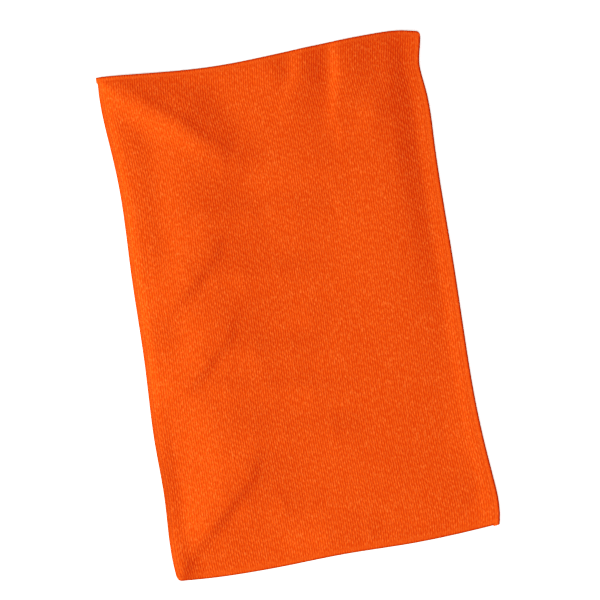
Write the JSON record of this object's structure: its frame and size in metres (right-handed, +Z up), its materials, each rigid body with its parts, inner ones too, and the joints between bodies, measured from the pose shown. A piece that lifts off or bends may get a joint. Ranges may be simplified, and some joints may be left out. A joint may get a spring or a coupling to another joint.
{
  "type": "quick dry towel",
  "caption": "Rectangular knitted microfibre travel towel, lying loosely on a flat surface, its edges turned over twice and sewn down all round.",
  "frame": {"origin": "middle of the towel seen from above, at the surface it lies on", "axes": "+X across the towel, +Y along its length, +Z up away from the surface, out of its face"},
  "size_m": [0.399, 0.618, 0.0121],
  "materials": {
    "terry": "orange knitted microfibre terry, short loops in lengthwise ribs, soft sheen",
    "hem": "the same orange cloth, turned over twice and pressed flat",
    "thread": "orange polyester sewing thread, slightly glossy"
  },
  "bodies": {
    "root": {"terry_panel": "terry", "hem_top": "hem", "hem_right": "hem", "hem_bottom": "hem", "hem_left": "hem", "face_stitching_top": "thread", "face_stitching_right": "thread", "face_stitching_bottom": "thread", "face_stitching_left": "thread", "back_stitching_top": "thread", "back_stitching_right": "thread", "back_stitching_bottom": "thread", "back_stitching_left": "thread"}
  },
  "joints": []
}
